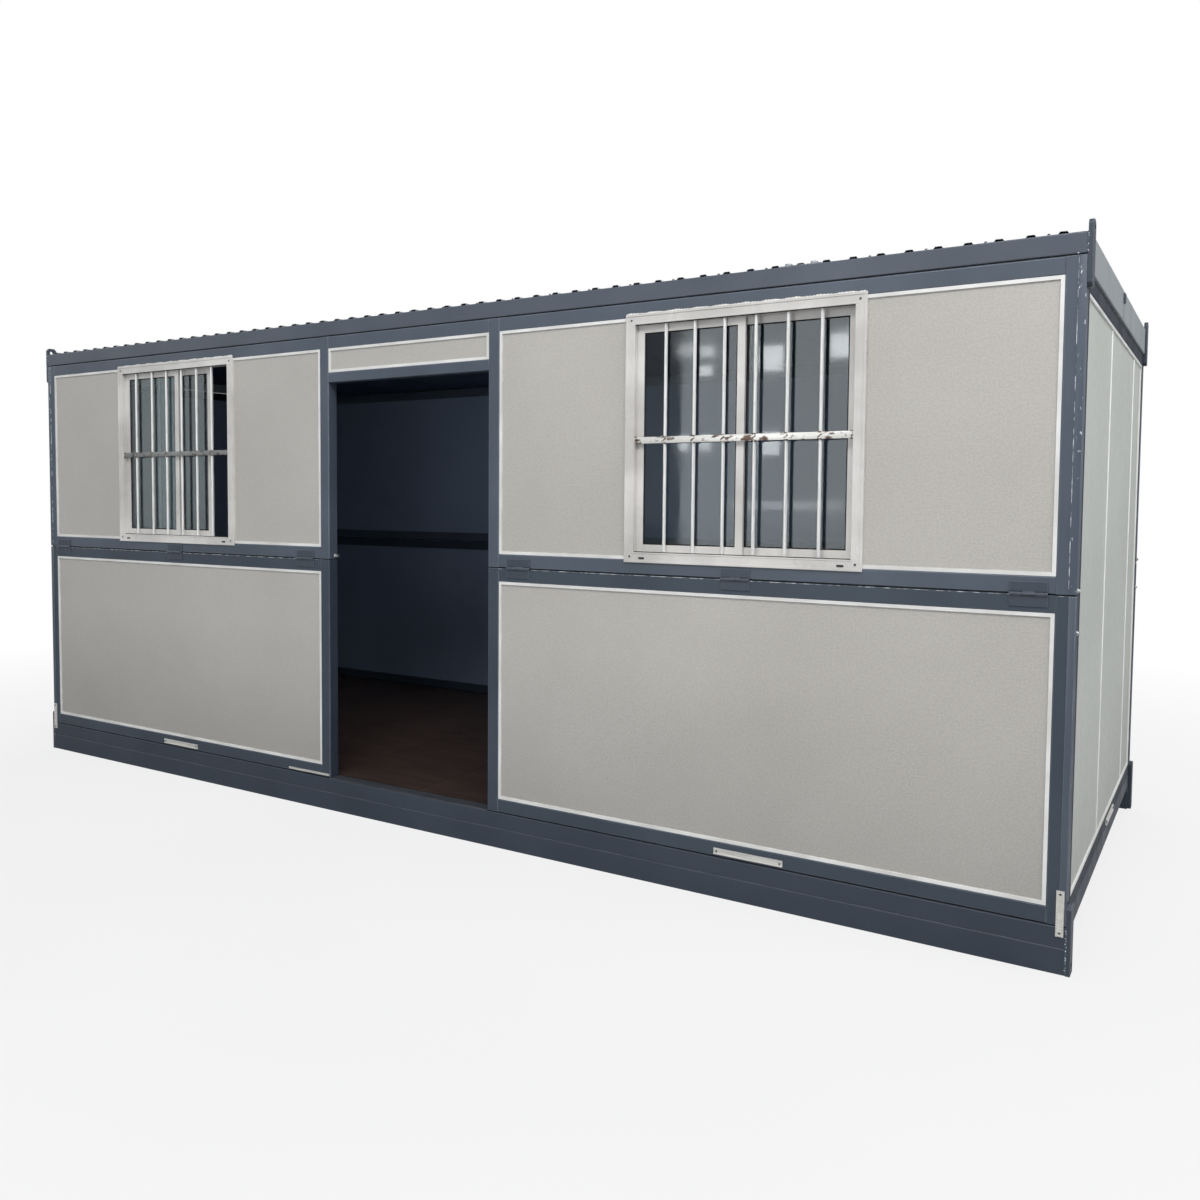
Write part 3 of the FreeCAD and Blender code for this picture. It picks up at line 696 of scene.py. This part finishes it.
# Sealant over the windows
# A line of pale silicone fills the gap above each frame. It was pressed in by hand and is
# ragged.

sealant, sealant_shader = start_finish("sealant", shade(214, 212, 206), 0.5)
sealant_shade = between(
    sealant, grain(sealant, 60.0), shade(196, 194, 188), shade(232, 231, 226)
)
link(sealant, sealant_shade, sealant_shader.inputs["Base Color"])
sealant_shape = bmesh.new()
for shift in window_places:
    for number in range(170):
        x = 1.214 + shift + number * 0.00585
        slow_swell = 0.0008 * math.sin(number * 0.37 + shift)
        lump = 0.0024 + 0.0011 * math.sin(number * 2.7) + slow_swell
        at = Matrix.Translation((x, -1.2165, 2.3675)) @ Matrix.Diagonal((2.2, 0.8, 1.7, 1.0))
        bmesh.ops.create_icosphere(sealant_shape, subdivisions=1, radius=lump, matrix=at)
put_piece("window_sealant", sealant_shape, sealant, "root")


# Window guards
# Six round steel bars stand inside each frame behind one flat crossbar. The crossbar is
# tacked to every bar, and the heat has left a brown stain and a bright lump at each tack.

bar_steel = brushed_metal(
    "bar_steel", shade(226, 226, 224), shade(250, 250, 248), 0.3, (4.0, 4.0, 0.15)
)
bar_steel.node_tree.nodes["Principled BSDF"].inputs["Metallic"].default_value = 0.35


def flat_metal(name, dark, light):
    """A flat bar's rolled skin with brown smears from the heat of the tacks."""
    finish, shader = start_finish(name, light, 0.36, 0.45)
    smear = grain(finish, 26.0, 6.0, (1.0, 1.0, 2.0))
    link(finish, between(finish, smear, dark, light, 0.36, 0.47), shader.inputs["Base Color"])
    raise_skin(finish, shader, grain(finish, 90.0, 4.0), 0.25, 0.0012)
    return finish


bright_flat = flat_metal("bright_flat", shade(104, 84, 72), shade(238, 236, 230))
dull_flat = flat_metal("dull_flat", shade(78, 70, 64), shade(142, 143, 142))

right_bars = (1.388, 1.517, 1.645, 1.776, 1.906, 2.039)
left_bars = (-2.059, -1.915, -1.786, -1.654, -1.525, -1.399)
bar_radius = 0.007
bar_length = 0.944
tack_runs = (
    (-0.008, 1.8370, 0.009, 1.8355, -1.2130, 0.0032),
    (-0.010, 1.8635, 0.006, 1.8620, -1.2130, 0.0032),
    (-0.006, 1.8450, 0.006, 1.8540, -1.2147, 0.0030),
)
guard_bars = bmesh.new()
guard_tacks = bmesh.new()
for shift, places in ((0.0, right_bars), (left_shift, left_bars)):
    guard_flat = bmesh.new()
    for x in places:
        at = Matrix.Translation((x, -1.2035, 1.855))
        bar = bmesh.ops.create_cone(
            guard_bars, cap_ends=True, cap_tris=False, segments=24, radius1=bar_radius,
            radius2=bar_radius, depth=bar_length, matrix=at,
        )["verts"]
        rims = [side for side in edges_of(bar)
                if abs(side.verts[0].co.z - side.verts[1].co.z) < 0.001]
        bmesh.ops.bevel(
            guard_bars, geom=rims, offset=0.001, offset_type="OFFSET", segments=1,
            profile=0.5, affect="EDGES", material=-1,
        )
    add_bar(
        guard_flat, (1.251 + shift, -1.2145, 1.836), (2.169 + shift, -1.2105, 1.863), 0.001, 2
    )
    side = "right" if shift == 0.0 else "left"
    flat_finish = bright_flat if shift == 0.0 else dull_flat
    put_piece(f"{side}_guard_crossbar", guard_flat, flat_finish, "root")
    for number, x in enumerate((1.255 + shift, *places, 2.165 + shift)):
        for left, z0, right, z1, y, size in tack_runs:
            add_weld(guard_tacks, (x + left, y, z0), (x + right, y, z1), size, number)
put_piece("window_guard_bars", guard_bars, bar_steel, "root")
tack_metal, tack_shader = start_finish("tack_metal", shade(120, 92, 66), 0.45, 0.4)
tack_colour = between(
    tack_metal, grain(tack_metal, 110.0, 3.0), shade(64, 42, 30), shade(214, 206, 194), 0.46, 0.62
)
link(tack_metal, tack_colour, tack_shader.inputs["Base Color"])
put_piece("window_guard_tacks", guard_tacks, tack_metal, "root")


# Glazing gaskets and painted track shadows
# Black rubber beading round each pane, pressed between the glass and its sash, and a black
# strip along the head and the sill of each opening as a painted shadow of the gap there.

left_slide = 0.18
gasket_and_shadow_shape = bmesh.new()
for shift, slide in ((0.0, 0.0), (left_shift, left_slide)):
    for low, high, face in (
        (1.285 + shift, 1.696 + shift, -1.1930),
        (1.724 + shift - slide, 2.135 + shift - slide, -1.1760),
    ):
        low, high = (low, 1.418), (high, 2.292)
        add_strip_frame(gasket_and_shadow_shape, low, high, 0.005, face, face + 0.0035, 0.001)
    # Painted shadow: a black strip at the head and the sill of each opening.
    for z in (1.3862, 2.3208):
        low, high = (1.254 + shift, -1.2155, z), (2.166 + shift, -1.2125, z + 0.0032)
        add_bar(gasket_and_shadow_shape, low, high, 0.0008, 1)
put_piece("glazing_gaskets_and_track_shadows", gasket_and_shadow_shape, seal_rubber, "root")


# Doorway
# The two posts end on the foot rails, a pressed strip covers the edge of the floor, and a
# zinc bolt that locks the fold stands on the inner face of the left-hand post.

trodden_metal = brushed_metal(
    "trodden_metal", shade(70, 75, 82), shade(104, 109, 114), 0.45, (0.15, 4.0, 4.0)
)
trodden_metal.node_tree.nodes["Principled BSDF"].inputs["Metallic"].default_value = 0.5
dress(trodden_metal, "door_sill")
zinc_bolt = brushed_metal(
    "zinc_bolt", shade(196, 198, 196), shade(240, 241, 240), 0.4, (1.0, 1.0, 1.0)
)


def add_bolt(shape, place, outward, across, height):
    """A hexagon bolt head on its washer."""
    outward = Vector(outward)
    spin = outward.to_track_quat("Z", "Y").to_matrix().to_4x4()
    base = Vector(place)
    washer_at = Matrix.Translation(base + outward * 0.001) @ spin
    bmesh.ops.create_cone(
        shape, cap_ends=True, cap_tris=False, segments=24, radius1=across * 0.95,
        radius2=across * 0.95, depth=0.002, matrix=washer_at,
    )
    head_at = Matrix.Translation(base + outward * (0.002 + height / 2)) @ spin
    head = bmesh.ops.create_cone(
        shape, cap_ends=True, cap_tris=False, segments=6, radius1=across * 0.6,
        radius2=across * 0.6, depth=height, matrix=head_at,
    )["verts"]
    bmesh.ops.bevel(
        shape, geom=edges_of(head), offset=0.0007, offset_type="OFFSET", segments=2,
        profile=0.5, affect="EDGES", material=-1,
    )


bolt_shape = bmesh.new()
add_bolt(bolt_shape, (-0.5, -1.168, 1.309), (1, 0, 0), 0.016, 0.016)
for end_side in (-1, 1):
    for wall_side in (-1, 1):
        for y, z in ((1.196, 1.309), (1.180, 1.165)):
            place = (end_side * 2.925, wall_side * y, z)
            add_bolt(bolt_shape, place, (end_side, 0, 0), 0.010, 0.006)
put_piece("fold_lock_bolts", bolt_shape, zinc_bolt, "root")


# End walls
# One flat frame each, hung from the roof by hinges, with three sheets of smooth grey-green
# panel that meet at white joints. The skin shows the fine upright lines of the rolling.

def rolled_relief(finish):
    """Fine upright lines."""
    return grain(finish, 70.0, 3.0, (3.0, 3.0, 0.1))


end_panel = panel_skin(
    "end_panel", "X", 2.90, shade(184, 187, 180), shade(200, 203, 197), rolled_relief
)
dress(end_panel, "right_end_panels", "left_end_panels")
# Painted shadow: the end frames are painted near-black blue, for the shade under the overhanging
# roof end beam.
end_frame_shadow_paint = tube_paint(
    "end_frame_shadow_paint", shade(24, 31, 44), shade(32, 39, 53), shade(72, 80, 92), 0.55
)
dress(end_frame_shadow_paint, "right_end_frame", "left_end_frame")
joint_white, joint_shader = start_finish("joint_white", shade(248, 248, 246), 0.35)
joint_shade = between(
    joint_white, grain(joint_white, 8.0), shade(238, 238, 236), shade(252, 252, 250)
)
link(joint_white, joint_shade, joint_shader.inputs["Base Color"])

for end_side, body in ((1, "right_end_wall"), (-1, "left_end_wall")):
    joint_strips = bmesh.new()
    near, far = sorted((end_side * 2.9165, end_side * 2.9200))
    for y in (-0.285, 0.735):
        add_bar(joint_strips, (near, y - 0.008, 0.253), (far, y + 0.008, 2.294), 0.001, 2)
    put_piece(body + "_joint_strips", joint_strips, joint_white, body)


# Roof edge beams
# Rectangular steel tube like the base's. The end beams are painted much lighter as a painted
# sheen of the light glancing off them, and have a butt weld in the middle with a small stacking
# stop above it.

roof_paint = tube_paint(
    "roof_paint", shade(72, 79, 90), shade(82, 89, 100), shade(146, 152, 160), 0.34
)
# Painted sheen: the end beams take a pale grey copy of the roof paint for the light they reflect.
end_beam_paint = tube_paint(
    "end_beam_paint", shade(140, 146, 149), shade(152, 158, 160), shade(190, 194, 196), 0.34
)
dress(roof_paint, "roof_long_beams")
dress(end_beam_paint, "roof_end_beams")

stop_shape = bmesh.new()
butt_shape = bmesh.new()
for end_side in (-1, 1):
    near, far = sorted((end_side * 2.9325, end_side * 2.9405))
    add_bar(stop_shape, (near, -0.062, 2.440), (far, -0.022, 2.478), 0.003, 3)
    foot = end_side * 2.9345
    add_weld(stop_shape, (foot, -0.062, 2.440), (foot, -0.022, 2.440), 0.003, end_side)
    near, far = sorted((end_side * 2.9322, end_side * 2.9336))
    add_bar(butt_shape, (near, -0.044, 2.371), (far, -0.040, 2.486), 0.0006, 2)
put_piece("stacking_stops", stop_shape, lug_paint, "root")
put_piece("end_beam_butt_welds", butt_shape, lug_paint, "root")


# Roof deck
# Zinc-coated sheet with a rib every 100 mm, laid across the house on purlins. The sheets
# overlap at one rib, and screws hold them down through the crowns.

roof_steel = brushed_metal(
    "roof_steel", shade(150, 154, 160), shade(190, 194, 198), 0.42, (0.6, 0.1, 0.6)
)
dress(roof_steel, "roof_sheet")
dress(joist_paint, "roof_purlins")

sheet_end = 1.207
lap_shape = bmesh.new()
add_bar(lap_shape, (1.868, -sheet_end, 2.4912), (2.030, sheet_end, 2.4940), 0.0008, 1)
for left in (1.888, 1.988):
    low, high = (left, -sheet_end, 2.4920), (left + 0.024, sheet_end, 2.5022)
    add_bar(lap_shape, low, high, 0.003, 3)
put_piece("roof_sheet_lap", lap_shape, roof_steel, "root")
deck_screws = bmesh.new()
for number in range(-14, 15):
    for y in (-1.17, -0.58, 0.0, 0.58, 1.17):
        add_screw(deck_screws, (number * 0.2, y, 2.4993), (0, 0, 1), 0.0055, 0.0045)
put_piece("roof_deck_screws", deck_screws, dark_screw, "root")


# Floor and ceiling
# Dark brown faced board on the joists, and a sheet under the purlins painted dark blue as
# the painted shade of the unlit room, both in strips with narrow joints.

floor_film, film_shader = start_finish("floor_film", shade(62, 48, 42), 0.5)
film_grain = grain(floor_film, 14.0, 6.0, (0.3, 4.0, 1.0))
film_shade = between(floor_film, film_grain, shade(52, 39, 34), shade(76, 60, 52))
link(floor_film, film_shade, film_shader.inputs["Base Color"])
raise_skin(floor_film, film_shader, film_grain, 0.15, 0.001)
dress(floor_film, "floor_board")

# Painted shade: the ceiling sheet and its strips are dark blue for the shade under the roof.
ceiling_painted_shade, ceiling_shader = start_finish("ceiling_painted_shade", shade(54, 68, 98), 0.6)
ceiling_shade = between(
    ceiling_painted_shade, grain(ceiling_painted_shade, 2.0, 4.0), shade(48, 62, 92), shade(60, 74, 106)
)
link(ceiling_painted_shade, ceiling_shade, ceiling_shader.inputs["Base Color"])
raise_skin(ceiling_painted_shade, ceiling_shader, grain(ceiling_painted_shade, 50.0), 0.1, 0.001)
dress(ceiling_painted_shade, "ceiling_board")
room_side = 1.13
ceiling_strips = bmesh.new()
floor_joints = bmesh.new()
for number in range(-5, 6):
    x = number * 0.5
    low, high = (x - 0.012, -room_side, 2.4182), (x + 0.012, room_side, 2.4202)
    add_bar(ceiling_strips, low, high, 0.0008, 1)
for number in range(-4, 5):
    x = number * 0.6
    low, high = (x - 0.0015, -room_side, 0.1648), (x + 0.0015, room_side, 0.1654)
    add_bar(floor_joints, low, high, 0.0002, 1)
put_piece("ceiling_cover_strips", ceiling_strips, ceiling_painted_shade, "root")
put_piece("floor_board_joints", floor_joints, seal_rubber, "root")
